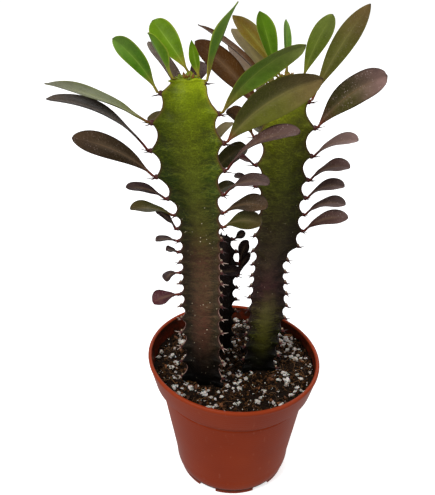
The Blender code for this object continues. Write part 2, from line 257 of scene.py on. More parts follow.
# Leaf colours, as display values, at the stalk's end, on the blade and at the tip, then how bright the left
# half and the right half are, as painted light and shade, and how dusty and how young the leaf is
TONES = {
    "bright": ((168, 160, 60), (86, 130, 2), (94, 138, 6), 1.08, 0.95, 0, 1),
    "lime": ((165, 150, 50), (98, 134, 4), (104, 140, 10), 1.05, 0.95, 0, 1),
    "emerald": ((150, 140, 50), (80, 126, 22), (108, 146, 52), 1.2, 0.85, 0, 1),
    "green": ((158, 136, 56), (84, 124, 34), (112, 146, 62), 0.9, 1.1, 0, 0.9),
    "fern": ((140, 130, 50), (98, 130, 38), (124, 134, 66), 0.85, 1.25, 0, 0.7),
    "sage": ((124, 124, 40), (104, 121, 34), (130, 145, 64), 1.25, 0.8, 0.15, 0.6),
    "greygreen": ((120, 120, 50), (112, 118, 82), (118, 118, 96), 1, 1, 0.1, 0.4),
    "dusk": ((90, 70, 50), (104, 88, 74), (112, 98, 84), 1, 0.85, 0.9, 0),
    "olive": ((100, 98, 34), (86, 88, 24), (112, 94, 54), 0.6, 1.3, 0.1, 0.2),
    "oliveblack": ((70, 44, 26), (50, 36, 14), (80, 60, 40), 0.8, 1.15, 0.35, 0),
    "autumn": ((116, 92, 40), (96, 98, 34), (120, 98, 56), 1.15, 0.8, 0.3, 0.3),
    "jet": ((60, 30, 20), (36, 26, 12), (70, 58, 46), 0.8, 1.3, 0.1, 0),
    "moss": ((72, 64, 20), (64, 62, 18), (76, 64, 30), 0.85, 1, 0.1, 0.1),
    "golden": ((120, 112, 30), (122, 100, 2), (108, 82, 4), 1, 0.85, 0, 0.5),
    "russet": ((84, 44, 14), (84, 50, 8), (74, 42, 14), 0.95, 1, 0.1, 0),
    "beige": ((116, 96, 44), (136, 122, 74), (148, 132, 96), 1, 1, 0.2, 0.2),
    "mauve": ((104, 84, 52), (126, 108, 82), (140, 120, 104), 1, 1, 0.7, 0),
    "purplegrey": ((86, 44, 38), (80, 58, 54), (100, 80, 76), 0.7, 1.2, 0.5, 0),
    "violet": ((76, 36, 34), (84, 58, 52), (100, 76, 72), 1, 1, 0.7, 0),
    "pinkdust": ((96, 58, 50), (124, 98, 92), (146, 118, 112), 1, 1.1, 1, 0),
    "rose": ((80, 52, 26), (70, 66, 26), (134, 104, 98), 0.75, 1.15, 1, 0),
    "plum": ((64, 30, 32), (46, 28, 28), (64, 46, 44), 0.8, 1, 0.4, 0),
    "wine": ((64, 20, 26), (70, 30, 38), (84, 36, 42), 0.9, 1, 0.3, 0),
    # night: near-black, painted shade, for the back stem's leaves
    "night": ((32, 16, 20), (26, 12, 16), (38, 22, 26), 0.85, 1, 0.1, 0),
}

# Leaf outlines: where along it a blade is widest, how slowly it widens, and how late and how roundly it ends
OUTLINES = {
    "spoon": (0.7, 1.6, 2.4, 0.58),
    "paddle": (0.66, 1.2, 3.2, 0.5),
    "broad": (0.62, 1.15, 2.5, 0.66),
    "oar": (0.68, 1.75, 1.9, 0.72),
    "lance": (0.58, 1.3, 1.8, 0.85),
}

# Each leaf by the node that it grows on: length and width in mm, rise, droop, swing and roll in degrees, its
# tone and its outline. They are the CAD's, but four large blades are turned over, half a turn in roll, and
# a few are a little wider or narrower
LEAVES = {
    "stem_left": {
        0: (18, 5, 104, 5, 60, -50, "lime", "lance"),
        1: (25, 10, 66, 5, 0, -10, "bright", "spoon"),
        2: (31, 12, 53, 10, 60, 50, "lime", "spoon"),
        3: (41, 10, 76, 20, 0, 0, "green", "lance"),
        4: (34, 9.6, 66, 25, 0, 75, "emerald", "spoon"),
        5: (19, 9, 39, 20, -20, -25, "violet", "paddle"),
        6: (56, 12, 59, 35, 0, -135, "fern", "broad"),
        7: (53, 12, 38, 20, 0, 15, "greygreen", "lance"),
        8: (43, 10, 60, 20, 60, 5, "dusk", "spoon"),
        9: (62, 16, 56, 35, 0, -105, "olive", "broad"),
        10: (57, 12, 60, 50, 0, 15, "jet", "oar"),
        11: (40, 9, 18, 30, 50, 50, "moss", "spoon"),
        12: (49, 11, 60, 50, 0, -25, "violet", "spoon"),
        13: (47, 11, 52, 35, 0, 70, "oliveblack", "spoon"),
        14: (31, 9, 49, 30, -40, 5, "beige", "spoon"),
        15: (30, 9, 56, 60, 0, -25, "purplegrey", "spoon"),
        16: (23, 6, 47, 40, 0, 35, "plum", "spoon"),
        17: (37, 10, 44, 40, -40, -40, "moss", "spoon"),
        18: (29, 10, 48, 50, 0, -35, "oliveblack", "spoon"),
        19: (24, 8, 40, 40, 0, 20, "moss", "spoon"),
        20: (23, 7, 32, 40, -40, -30, "moss", "spoon"),
        21: (26, 10, 47, 50, 0, -50, "moss", "spoon"),
        22: (16, 6, 70, 40, 0, 35, "plum", "spoon"),
        25: (12, 6, 32, 40, 0, 5, "plum", "spoon"),
        28: (7, 5, 42, 40, 0, 15, "plum", "spoon"),
        34: (9, 6, 20, 90, 0, 20, "plum", "spoon"),
        40: (15, 10, 6, 30, 0, 20, "wine", "spoon"),
    },
    "stem_right": {
        1: (34, 9, 76, 10, 0, -45, "bright", "oar"),
        2: (32, 6, 49, 10, 0, -40, "green", "oar"),
        3: (35, 9.5, 78, 20, 0, -115, "sage", "spoon"),
        4: (46, 8, 51, 25, -40, 5, "russet", "lance"),
        5: (49, 10, 47, 20, 45, 25, "golden", "oar"),
        6: (54, 10.5, 70, 15, 0, -110, "autumn", "oar"),
        7: (46, 12, 57, 25, -40, 65, "russet", "broad"),
        8: (50, 9, 53, 20, 50, 15, "beige", "spoon"),
        9: (45, 13.5, 62, 37, 0, -80, "rose", "paddle"),
        10: (23, 9, 63, 30, 0, -50, "russet", "spoon"),
        11: (57, 9, 53, 20, 45, 10, "mauve", "spoon"),
        12: (27, 9, 55, 50, 0, -25, "pinkdust", "spoon"),
        13: (12, 5, 47, 30, 0, 30, "wine", "spoon"),
        14: (24, 9, 50, 40, 45, 0, "moss", "spoon"),
        15: (25, 9, 59, 60, 0, -25, "violet", "spoon"),
        16: (15, 6, 53, 40, 0, 20, "plum", "spoon"),
        17: (24, 8, 57, 55, -10, 10, "moss", "spoon"),
        18: (24, 8, 60, 60, 0, -30, "purplegrey", "spoon"),
        20: (22, 8, 55, 55, -5, -15, "moss", "spoon"),
        21: (26, 8, 58, 60, 0, -25, "purplegrey", "spoon"),
        24: (29, 8, 56, 50, 0, -50, "violet", "spoon"),
    },
    "stem_back": {
        3: (8, 5, 40, 10, 0, -50, "night", "spoon"),
        8: (12, 6, 55, 20, 0, 0, "night", "spoon"),
        9: (17, 7, 78, 10, -10, -65, "night", "spoon"),
        10: (19, 7, 35, 30, 100, -35, "night", "spoon"),
        12: (17, 7, 87, 40, 0, -40, "night", "spoon"),
    },
}


class Look:
    """The nodes of one material, written as nested calls. Sizes are in metres."""

    def __init__(self, name, **shader):
        self.material = bpy.data.materials.new(name)
        self.material.use_nodes = True
        self.tree = self.material.node_tree
        self.shader = self.tree.nodes["Principled BSDF"]
        self.place = self.node("ShaderNodeTexCoord").outputs["Object"]
        self.wears(**shader)

    def wears(self, **inputs):
        """Sets or links the shader's inputs, with _ for each space in a name."""
        for name, value in inputs.items():
            self.feed(self.shader.inputs[name.replace("_", " ")], value)

    def node(self, kind, **settings):
        made = self.tree.nodes.new(kind)
        for name, value in settings.items():
            setattr(made, name, value)
        return made

    def feed(self, socket, value):
        """Links a socket, or sets a value. Three numbers are a colour's display values."""
        if isinstance(value, bpy.types.NodeSocket):
            self.tree.links.new(value, socket)
        else:
            colour = isinstance(value, tuple) and len(value) == 3
            socket.default_value = srgb(*value) if colour else value

    def attribute(self, name, output="Fac"):
        return self.node("ShaderNodeAttribute", attribute_name=name).outputs[output]

    def scaled(self, size, stretch):
        mapping = self.node("ShaderNodeMapping")
        self.feed(mapping.inputs["Vector"], self.place)
        mapping.inputs["Scale"].default_value = [s / size for s in stretch]
        return mapping.outputs["Vector"]

    def noise(self, size, detail=3, stretch=(1, 1, 1), twist=0.0):
        made = self.node("ShaderNodeTexNoise")
        self.feed(made.inputs["Vector"], self.scaled(size, stretch))
        made.inputs["Scale"].default_value = 1
        made.inputs["Detail"].default_value = detail
        made.inputs["Distortion"].default_value = twist
        return made.outputs["Fac"]

    def cells(self, size, stretch=(1, 1, 1), feature="F1"):
        """The distance to the nearest cell's middle, or to its edge with DISTANCE_TO_EDGE."""
        made = self.node("ShaderNodeTexVoronoi", feature=feature)
        self.feed(made.inputs["Vector"], self.scaled(size, stretch))
        made.inputs["Scale"].default_value = 1
        return made.outputs["Distance"]

    def maths(self, operation, first, second=0.0):
        made = self.node("ShaderNodeMath", operation=operation)
        self.feed(made.inputs[0], first)
        self.feed(made.inputs[1], second)
        return made.outputs[0]

    def times(self, first, *others):
        for other in others:
            first = self.maths("MULTIPLY", first, other)
        return first

    def plus(self, first, second):
        return self.maths("ADD", first, second)

    def about(self, value, share):
        """That share of how far a value is from a half."""
        return self.times(self.maths("SUBTRACT", value, 0.5), share)

    def rise(self, value, low, high, start=0.0, end=1.0):
        """start where value is low or less, end where it is high or more, and an even S in between."""
        made = self.node("ShaderNodeMapRange", interpolation_type="SMOOTHSTEP")
        for name, given in (("From Min", low), ("From Max", high), ("To Min", start), ("To Max", end)):
            made.inputs[name].default_value = given
        self.feed(made.inputs["Value"], value)
        return made.outputs["Result"]

    def ramp(self, value, stops):
        """A colour for each value, even between (value, colour) stops."""
        made = self.node("ShaderNodeValToRGB")
        points = made.color_ramp.elements
        while len(points) < len(stops):
            points.new(0.5)
        for point, (place, _) in zip(points, stops):
            point.position = place
        for point, (_, colour) in zip(points, stops):
            point.color = srgb(*colour)
        self.feed(made.inputs["Fac"], value)
        return made.outputs["Color"]

    def blend(self, share, first, second, mode="MIX"):
        made = self.node("ShaderNodeMix", data_type="RGBA", blend_type=mode)
        self.feed(made.inputs["Factor"], share)
        self.feed(made.inputs[6], first)
        self.feed(made.inputs[7], second)
        return made.outputs[2]

    def relief(self, *layers):
        """Bump from (height socket, depth in metres) layers."""
        normal = None
        for height, depth in layers:
            made = self.node("ShaderNodeBump")
            made.inputs["Distance"].default_value = depth
            self.feed(made.inputs["Height"], height)
            if normal:
                self.feed(made.inputs["Normal"], normal)
            normal = made.outputs["Normal"]
        self.wears(Normal=normal)


def pot_look():
    look = Look("pot_plastic", IOR=1.46, Specular_IOR_Level=0.13)
    broad = look.noise(45 * MM, 2)
    fine = look.noise(1.2 * MM, 2)
    body = look.ramp(broad, ((0.3, (131, 43, 10)), (0.5, (138, 47, 13)), (0.7, (145, 53, 18))))
    height = look.node("ShaderNodeSeparateXYZ")
    look.feed(height.inputs[0], look.place)
    # A lighter band along the lip: a painted highlight.
    lip = look.rise(height.outputs["Z"], POT_HEIGHT - 2.4 * MM, POT_HEIGHT - 0.6 * MM)
    colour = look.blend(look.times(lip, 0.6), body, (150, 56, 22))
    # The inner wall and floor darkened towards dark red-brown: painted shade.
    inside = look.attribute("inside")
    colour = look.blend(look.times(inside, 0.8), colour, (62, 20, 10))
    # Darker brown blotches over the inside.
    inner_dark_blotches = look.times(look.rise(look.noise(5 * MM, 4), 0.4, 0.6), inside)
    colour = look.blend(look.times(inner_dark_blotches, 0.75), colour, (40, 24, 15))
    scuffs = look.rise(look.noise(2.2 * MM, 5, stretch=(1, 1, 0.35)), 0.63, 0.72)
    colour = look.blend(look.times(scuffs, 0.12), colour, (196, 128, 104))
    rough = look.rise(broad, 0.3, 0.7, 0.34, 0.42)
    look.wears(Base_Color=colour, Roughness=look.plus(rough, look.times(scuffs, 0.12)))
    rings = look.node("ShaderNodeTexWave", bands_direction="Z", wave_profile="SIN")
    look.feed(rings.inputs["Vector"], look.place)
    rings.inputs["Scale"].default_value = 160
    rings.inputs["Distortion"].default_value = 0.6
    look.relief((rings.outputs["Fac"], 0.012 * MM), (fine, 0.03 * MM), (broad, 0.5 * MM))
    return look.material


def soil_look(name, dark, light):
    """Peat: dark crumbs whose colour differs from crumb to crumb."""
    look = Look(name, IOR=1.4, Specular_IOR_Level=0.12)
    grain = look.noise(0.9 * MM, 5)
    colour = look.blend(look.maths("POWER", look.attribute("tint"), 1.6), dark, light)
    colour = look.blend(look.rise(grain, 0.35, 0.7), look.blend(0.6, colour, (10, 7, 5)), colour)
    flecks = look.rise(look.noise(0.5 * MM, 2), 0.66, 0.72)
    colour = look.blend(look.times(flecks, 0.4), colour, (150, 110, 70))
    look.wears(Base_Color=colour, Roughness=look.rise(grain, 0.4, 0.7, 0.75, 0.95))
    look.relief((grain, 0.35 * MM), (look.cells(0.7 * MM), 0.15 * MM))
    return look.material


def perlite_look():
    look = Look("perlite_glass", IOR=1.45, Subsurface_Weight=0.15, Subsurface_Scale=1 * MM)
    pits = look.cells(0.45 * MM)
    grey = look.noise(1.6 * MM, 4)
    colour = look.ramp(grey, ((0.3, (150, 142, 132)), (0.5, (212, 207, 199)), (0.7, (244, 241, 236))))
    colour = look.blend(look.rise(look.noise(2.5 * MM, 4), 0.56, 0.68, 0, 0.75), colour, (120, 92, 66))
    colour = look.blend(look.times(look.attribute("tint"), 0.3), colour, (170, 150, 130))
    look.wears(Base_Color=colour, Roughness=look.rise(grey, 0.3, 0.7, 0.65, 0.9))
    look.relief((pits, 0.25 * MM), (grey, 0.3 * MM))
    return look.material


def wood_look(name, dark, light):
    """Bark and coir: long grain with pale and dark threads."""
    look = Look(name, IOR=1.45)
    grain = look.noise(0.5 * MM, 4, stretch=(1, 1, 0.3))
    colour = look.blend(look.attribute("tint"), dark, light)
    colour = look.blend(look.rise(grain, 0.35, 0.65), look.blend(0.55, colour, (20, 10, 6)), colour)
    look.wears(Base_Color=colour, Roughness=look.rise(grain, 0.3, 0.7, 0.6, 0.85))
    look.relief((grain, 0.12 * MM))
    return look.material


def stem_look(name, centre, flank, edge, marble, specks):
    """A ribbed skin: colours by height along the middle of each face and beside it, feathered veins, brown
    rib edges, small cream specks, painted light and shade on the two sides, and painted shade on the foot."""
    look = Look(name, IOR=1.42, Specular_IOR_Level=0.15)
    height = look.attribute("height")
    face = look.attribute("face")
    tooth = look.attribute("tooth")
    drift = look.noise(7 * MM, 4, twist=0.6)
    feather = look.noise(1.7 * MM, 5, stretch=(0.45, 0.45, 1.5), twist=1.4)
    jitter = look.about(drift, 0.09)
    level = look.plus(height, jitter)
    ragged = look.plus(face, look.about(feather, 0.9))
    colour = look.blend(look.rise(ragged, 0.5, 0.95), look.ramp(level, flank), look.ramp(level, centre))
    calm = look.rise(height, 0.72, 0.92, 1, 0.35)
    veins = look.rise(feather, 0.52, 0.64)
    colour = look.blend(look.times(veins, calm, 0.5), colour, look.ramp(level, marble))
    shade = look.rise(look.noise(2.6 * MM, 5, stretch=(0.7, 0.7, 1.3), twist=0.8), 0.36, 0.56, 0.5, 0)
    colour = look.blend(look.times(shade, calm), colour, look.blend(0.5, colour, (16, 14, 6)))
    net = look.rise(look.cells(2.2 * MM, (0.6, 0.6, 1.5), "DISTANCE_TO_EDGE"), 0.015, 0.09, 1, 0)
    net = look.times(net, look.rise(drift, 0.4, 0.6))
    colour = look.blend(look.times(net, 0.5), colour, look.ramp(level, marble))
    grain = look.noise(0.55 * MM, 3)
    colour = look.blend(look.rise(grain, 0.42, 0.6, 0.42, 0), colour, look.blend(0.5, colour, (10, 10, 4)))
    colour = look.blend(look.rise(grain, 0.56, 0.7, 0, 0.22), colour, look.ramp(level, marble))
    bands = look.times(look.rise(tooth, -0.2, -0.95), look.rise(face, 0.1, 0.5))
    colour = look.blend(look.times(bands, 0.3), colour, (34, 20, 14))
    rim = look.plus(face, look.about(drift, 0.12))
    colour = look.blend(look.rise(rim, 0.14, 0.5, 0.8, 0), colour, look.ramp(level, edge))
    dots = look.rise(look.cells(2.1 * MM), 0.1, 0.17, 1, 0)
    chosen = look.rise(look.noise(4.5 * MM, 3), 0.54, 0.6)
    dots = look.times(dots, chosen, look.rise(face, 0.15, 0.3), look.rise(height, 0.72, 0.55, 0, specks))
    colour = look.blend(dots, colour, (214, 200, 170))
    # Painted light and shade: one side of each stem lighter and the other darker.
    painted_side_light = look.rise(look.attribute("side"), -0.8, 0.8, 0.68, 1.42)
    # Painted shade: darker towards the foot, down to about a sixth at the mix.
    foot = look.rise(look.plus(height, jitter), 0.0, 0.2, 0.16, 1)
    colour = look.blend(1.0, colour, look.times(painted_side_light, foot), "MULTIPLY")
    look.wears(Base_Color=colour, Roughness=look.rise(feather, 0.3, 0.7, 0.4, 0.56))
    look.relief((feather, 0.16 * MM), (drift, 0.5 * MM), (net, 0.06 * MM), (grain, 0.05 * MM))
    return look.material


def leaf_look(name):
    """A leaf's skin over its tone, which holds painted light and shade on each half: midrib, side veins, a
    painted highlight down the middle, margin, grain and dust.
    """
    look = Look(name, IOR=1.42, Specular_IOR_Level=0.2)
    tone_colour = look.attribute("tone", "Color")
    along = look.attribute("along")
    dust = look.attribute("dust")
    young = look.attribute("young")
    width = look.maths("ABSOLUTE", look.attribute("across"))
    grain = look.noise(0.8 * MM, 4)
    broad = look.noise(5 * MM, 3)
    paler = look.blend(0.3, tone_colour, look.blend(young, (176, 150, 120), (168, 204, 70)))
    dark = look.blend(0.6, tone_colour, (26, 8, 6))
    colour = look.blend(look.rise(broad, 0.35, 0.65, 0.3, 0), tone_colour, dark)
    slant = look.maths("SUBTRACT", look.times(along, 24.0), look.times(width, 5.0))
    slant = look.plus(slant, look.times(broad, 3.0))
    vein = look.rise(look.maths("PINGPONG", slant, 0.5), 0.36, 0.5)
    vein = look.times(vein, look.rise(width, 0.92, 0.5, 0, 0.16))
    colour = look.blend(vein, colour, paler)
    colour = look.blend(look.rise(grain, 0.5, 0.68, 0, 0.2), colour, paler)
    under = look.blend(0.08, colour, (120, 108, 70))
    colour = look.blend(look.attribute("upper"), under, colour)
    # A painted highlight: a paler band down the middle of the blade that fades out towards the tip.
    painted_highlight = look.times(look.rise(width, 0.08, 0.42, 0.4, 0), look.rise(along, 0.95, 0.6, 0, 1))
    colour = look.blend(painted_highlight, colour, paler)
    rib = look.times(look.rise(width, 0.02, 0.07, 1, 0), look.rise(along, 0.95, 0.55, 0.1, 0.8))
    pale_rib = look.blend(young, (150, 116, 84), (184, 214, 90))
    colour = look.blend(rib, colour, look.blend(0.4, tone_colour, pale_rib))
    margin = look.plus(width, look.about(grain, 0.05))
    edge = look.blend(young, dark, look.blend(0.5, tone_colour, (190, 196, 70)))
    colour = look.blend(look.rise(margin, 0.84, 0.97, 0, 0.85), colour, edge)
    some = look.rise(look.noise(3.5 * MM, 3), 0.42, 0.6)
    specks = look.rise(look.cells(1.1 * MM), 0.1, 0.26, 1, 0)
    specks = look.times(specks, some, dust)
    haze = look.times(look.rise(grain, 0.45, 0.7), some, dust)
    colour = look.blend(look.times(haze, 0.3), colour, (150, 120, 114))
    colour = look.blend(look.times(specks, 0.75), colour, (206, 186, 178))
    rough = look.plus(look.rise(grain, 0.3, 0.7, 0.38, 0.52), look.times(haze, 0.2))
    look.wears(Base_Color=colour, Roughness=rough)
    look.relief((grain, 0.06 * MM), (vein, -0.25 * MM), (broad, 0.3 * MM))
    return look.material


def spine_look(name, base, tip):
    look = Look(name, IOR=1.5)
    grain = look.noise(0.6 * MM, 3)
    colour = look.blend(look.attribute("tint"), base, tip)
    colour = look.blend(look.rise(grain, 0.4, 0.7, 0.35, 0), colour, (20, 10, 8))
    look.wears(Base_Color=colour, Roughness=look.rise(grain, 0.3, 0.7, 0.4, 0.6))
    look.relief((grain, 0.06 * MM))
    return look.material


def new_mesh(name, points, faces, look, attributes=None):
    """A smooth mesh of points and faces, with values or colours for its points under each name."""
    mesh = bpy.data.meshes.new(name)
    mesh.from_pydata([tuple(p) for p in points], [], [tuple(int(i) for i in f) for f in faces])
    for key, values in (attributes or {}).items():
        values = np.asarray(values, np.float32)
        kind, field = ("FLOAT", "value") if values.ndim == 1 else ("FLOAT_COLOR", "color")
        made = mesh.attributes.new(key, kind, "POINT")
        made.data.foreach_set(field, values.ravel())
    mesh.materials.append(look)
    mesh.shade_smooth()
    mesh.update()
    return mesh


def turned_out(mesh):
    """Turns all of a closed mesh's faces outwards."""
    bm = bmesh.new()
    bm.from_mesh(mesh)
    bmesh.ops.recalc_face_normals(bm, faces=bm.faces)
    bm.to_mesh(mesh)
    bm.free()
    return mesh


def stand(name, data):
    made = bpy.data.objects.new(name, data)
    bpy.context.scene.collection.objects.link(made)
    return made


def add_piece(name, points, faces, look, marks, nodes=(), turned=True):
    """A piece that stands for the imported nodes, if any. turned turns its faces outwards."""
    mesh = new_mesh(name, points, faces, look, marks)
    made = stand(name, turned_out(mesh) if turned else mesh)
    if nodes:
        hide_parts(*nodes)
    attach(made, BODY)
    return made


def ring_faces(rings, count, start=0, capped=True):
    """Quads between rings of count points that follow each other, with a face over each end."""
    faces = []
    for k in range(rings - 1):
        lower = start + k * count
        for i in range(count):
            j = (i + 1) % count
            faces.append((lower + i, lower + j, lower + count + j, lower + count + i))
    if capped:
        last = start + (rings - 1) * count
        faces.append(tuple(range(start + count - 1, start - 1, -1)))
        faces.append(tuple(range(last, last + count)))
    return faces


def rounded(points, radius):
    """A run of (x, z) points whose inner corners are arcs. radius holds one value for each inner corner."""
    run = [Vector(points[0])]
    for before, corner, after, r in zip(points, points[1:], points[2:], radius):
        corner = Vector(corner)
        back = (Vector(before) - corner).normalized()
        on = (Vector(after) - corner).normalized()
        angle = back.angle(on)
        if r == 0 or angle > math.pi - 0.01:
            run.append(corner)
            continue
        middle = corner + (back + on).normalized() * (r / math.sin(angle / 2))
        start = corner + back * (r / math.tan(angle / 2)) - middle
        end = corner + on * (r / math.tan(angle / 2)) - middle
        sweep = start.angle_signed(end)
        run += [middle + Matrix.Rotation(-sweep * i / ARC_PIECES, 2) @ start for i in range(ARC_PIECES + 1)]
    run.append(Vector(points[-1]))
    return run


def squeezed(point):
    """A point of the turned pot or mix, pressed to the CAD's oval towards the rim."""
    share = RIM_SQUEEZE / RIM_RADIUS * point[2] / POT_HEIGHT
    return (point[0] - share * point[1], point[1] - share * point[0], point[2])


def wall_radius(height):
    """The pot's inner radius at a height above its floor."""
    collar_end = POT_HEIGHT - COLLAR_DEPTH
    collar_foot = RIM_RADIUS - COLLAR_TAPER
    keys = (
        (HEEL_HEIGHT, HEEL_RADIUS),
        (collar_end - STEP_HEIGHT, collar_foot - COLLAR_STEP),
        (collar_end, collar_foot),
        (POT_HEIGHT, RIM_RADIUS),
    )
    if height < HEEL_HEIGHT:
        fall = max(HEEL_HEIGHT - height, 0) / HEEL_HEIGHT
        return FOOT_RADIUS + (HEEL_RADIUS - FOOT_RADIUS) * math.sqrt(max(1 - fall * fall, 0)) - WALL
    return float(np.interp(height, *zip(*keys))) - WALL


def around(r, z, steps):
    """Points round the pot's axis, pressed oval."""
    angles = (2 * math.pi * i / steps for i in range(steps))
    return [squeezed((r * math.cos(a), r * math.sin(a), z)) for a in angles]


def closed_rings(points, steps, first, last):
    """The faces of rings of points that close on the axis at first and last, which it adds to points."""
    faces = ring_faces(len(points) // steps, steps, capped=False)
    axis, final = len(points), len(points) - steps
    points += [first, last]
    for i in range(steps):
        j = (i + 1) % steps
        faces += [(axis, j, i), (axis + 1, final + i, final + j)]
    return faces


def build_pot():
    """The thin moulded shell, turned from a profile that runs from the inside of the floor to its underside:
    a bead along the lip, a collar, the wall with a fine ring, a heel and a foot."""
    collar_end = POT_HEIGHT - COLLAR_DEPTH
    collar_foot = RIM_RADIUS - COLLAR_TAPER
    wall_top = collar_end - STEP_HEIGHT
    slope = (collar_foot - COLLAR_STEP - HEEL_RADIUS) / (wall_top - HEEL_HEIGHT)
    ring_low = wall_top - 3.2 * MM
    ring_deep = 0.35 * MM

    def wall_at(z):
        return HEEL_RADIUS + slope * (z - HEEL_HEIGHT)

    bead = LIP_WIDTH / 2
    lip = [
        (RIM_RADIUS - bead + bead * math.cos(a), POT_HEIGHT - bead + bead * math.sin(a))
        for a in (math.pi * (1 - i / 10) for i in range(11))
    ]
    inner = [(wall_radius(z), z) for z in (POT_HEIGHT - 3 * MM, collar_end, wall_top, 40 * MM, 20 * MM)]
    inner += [(wall_radius(z), z) for z in (HEEL_HEIGHT, 8 * MM, 4 * MM)]
    floor = [(0, FLOOR), (wall_radius(4 * MM) - 1 * MM, FLOOR)]
    inner_run = rounded([*floor, *reversed(inner)], [0.8 * MM] + [0] * 7)
    outer = [
        (RIM_RADIUS - 0.1 * MM, POT_HEIGHT - 2.2 * MM),
        (RIM_RADIUS - 0.5 * MM, POT_HEIGHT - 3.2 * MM),
        (collar_foot, collar_end),
        (collar_foot - COLLAR_STEP, wall_top),
        (wall_at(ring_low + 1 * MM), ring_low + 1 * MM),
        (wall_at(ring_low) - ring_deep, ring_low),
        (wall_at(ring_low - 1 * MM), ring_low - 1 * MM),
        (HEEL_RADIUS, HEEL_HEIGHT),
    ]
    outer_run = rounded(outer, [r * MM for r in (0.4, 0.8, 0.9, 1.2, 0.3, 0.3, 0.3)])
    heel = [
        (
            FOOT_RADIUS + (HEEL_RADIUS - FOOT_RADIUS) * math.cos(a),
            HEEL_HEIGHT + (FOOT_HEIGHT - HEEL_HEIGHT) * math.sin(a),
        )
        for a in (math.pi / 2 * i / 8 for i in range(1, 9))
    ]
    foot = rounded([(FOOT_RADIUS, FOOT_HEIGHT), (FOOT_RADIUS, 0), (0, 0)], [0.5 * MM])
    profile = [tuple(p) for p in (*inner_run, *lip, *outer_run, *heel[:-1], *foot)]
    low = POT_HEIGHT - 0.9 * MM

    # inside marks the inner wall and floor below the lip, which the pot's look darkens as painted shade.
    def inside(r, z):
        return float(z < low and r < wall_radius(z) + 0.4 * MM and z > FLOOR / 2)

    points, marks = [], []
    for r, z in profile[1:-1]:
        points += around(r, z, TURNED_STEPS)
        marks += [inside(r, z)] * TURNED_STEPS
    faces = closed_rings(points, TURNED_STEPS, (0, 0, profile[0][1]), (0, 0, profile[-1][1]))
    marks += [inside(0, profile[0][1]), 0]
    marks = {"inside": marks}
    pot = add_piece("pot_shell", points, faces, pot_look(), marks, ["pot"])
    cutter = drain_cutter()
    cut = pot.modifiers.new("Drains", "BOOLEAN")
    cut.object = cutter
    cut.operation = "DIFFERENCE"
    cut.solver = "MANIFOLD"
    graph = bpy.context.evaluated_depsgraph_get()
    pot.data = bpy.data.meshes.new_from_object(pot.evaluated_get(graph))
    pot.modifiers.clear()
    bpy.data.objects.remove(cutter)
    pot.data.set_sharp_from_angle(angle=math.radians(50))


def drain_cutter():
    """One slot with round corners for each drain notch."""
    bm = bmesh.new()
    for i in range(DRAIN_COUNT):
        angle = math.radians(DRAIN_FIRST_DEG + 360 * i / DRAIN_COUNT)
        made = bmesh.ops.create_cube(bm, size=1)["verts"]
        bmesh.ops.scale(bm, vec=(2 * DRAIN_LENGTH, DRAIN_WIDTH, 2 * DRAIN_HEIGHT), verts=made)
        bmesh.ops.translate(bm, vec=(FOOT_RADIUS, 0, 0), verts=made)
        bmesh.ops.rotate(bm, verts=made, matrix=Matrix.Rotation(angle, 3, "Z"))
    bmesh.ops.bevel(bm, geom=bm.edges[:], offset=1.2 * MM, segments=3, profile=0.5, affect="EDGES")
    mesh = bpy.data.meshes.new("drain_cutter")
    bm.to_mesh(mesh)
    bm.free()
    return stand("drain_cutter", mesh)


def bed_height(x, y):
    """The top of the mix: nearly level, with lumps, and sunk round the stems and by the far wall."""
    r = math.hypot(x, y) / (wall_radius(MIX_TOP) - MIX_GAP)
    mound = MIX_TOP + MIX_MOUND * (1 - r * r) - BED_DROP
    for stem in STEMS[:2]:
        foot = stem.middle(0)
        away = math.hypot(x - foot.x, y - foot.y) / stem.reach(0)
        mound -= HOLLOW * (1 - smooth(0.9, 2.3, away))
    mound -= FAR_SINK * smooth(0.55, 1, r) * smooth(0, 0.8, (0.8 * y - 0.6 * x) / wall_radius(MIX_TOP))
    mound += noise.fractal((x / (7 * MM), y / (7 * MM), 3.1), 1, 2, 4) * BED_LUMPS
    return mound + noise.fractal((x / (1.6 * MM), y / (1.6 * MM), 8.4), 1, 2, 2) * BED_GRIT


def build_bed():
    """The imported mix: a lumpy top and smooth sides, a little clear of the pot."""
    edge = wall_radius(MIX_TOP) - MIX_GAP
    points = []
    for k in range(1, BED_ROWS + 1):
        ring = around(edge * k / BED_ROWS, MIX_TOP, BED_STEPS)
        points += [(x, y, bed_height(x, y)) for x, y, _ in ring]
    for z in (70 * MM, 66 * MM, 64 * MM, 50 * MM, 30 * MM, HEEL_HEIGHT, 6 * MM, FLOOR + MIX_GAP):
        points += around(wall_radius(z) - MIX_GAP, z, BED_STEPS)
    faces = closed_rings(points, BED_STEPS, (0, 0, bed_height(0, 0)), (0, 0, FLOOR + MIX_GAP))
    tints = [0.5 + 0.5 * noise.noise((p[0] / (4 * MM), p[1] / (4 * MM), 0.0)) for p in points]
    look = soil_look("peat_bed", (16, 9, 5), (46, 29, 16))
    add_piece("soil_bed", points, faces, look, {"tint": tints}, ["potting_mix"])


def sphere(divisions):
    """The points, of radius 1, and the faces of an even ball."""
    bm = bmesh.new()
    bmesh.ops.create_icosphere(bm, subdivisions=divisions, radius=1)
    points = np.array([v.co for v in bm.verts])
    faces = np.array([[v.index for v in f.verts] for f in bm.faces])
    bm.free()
    return points, faces


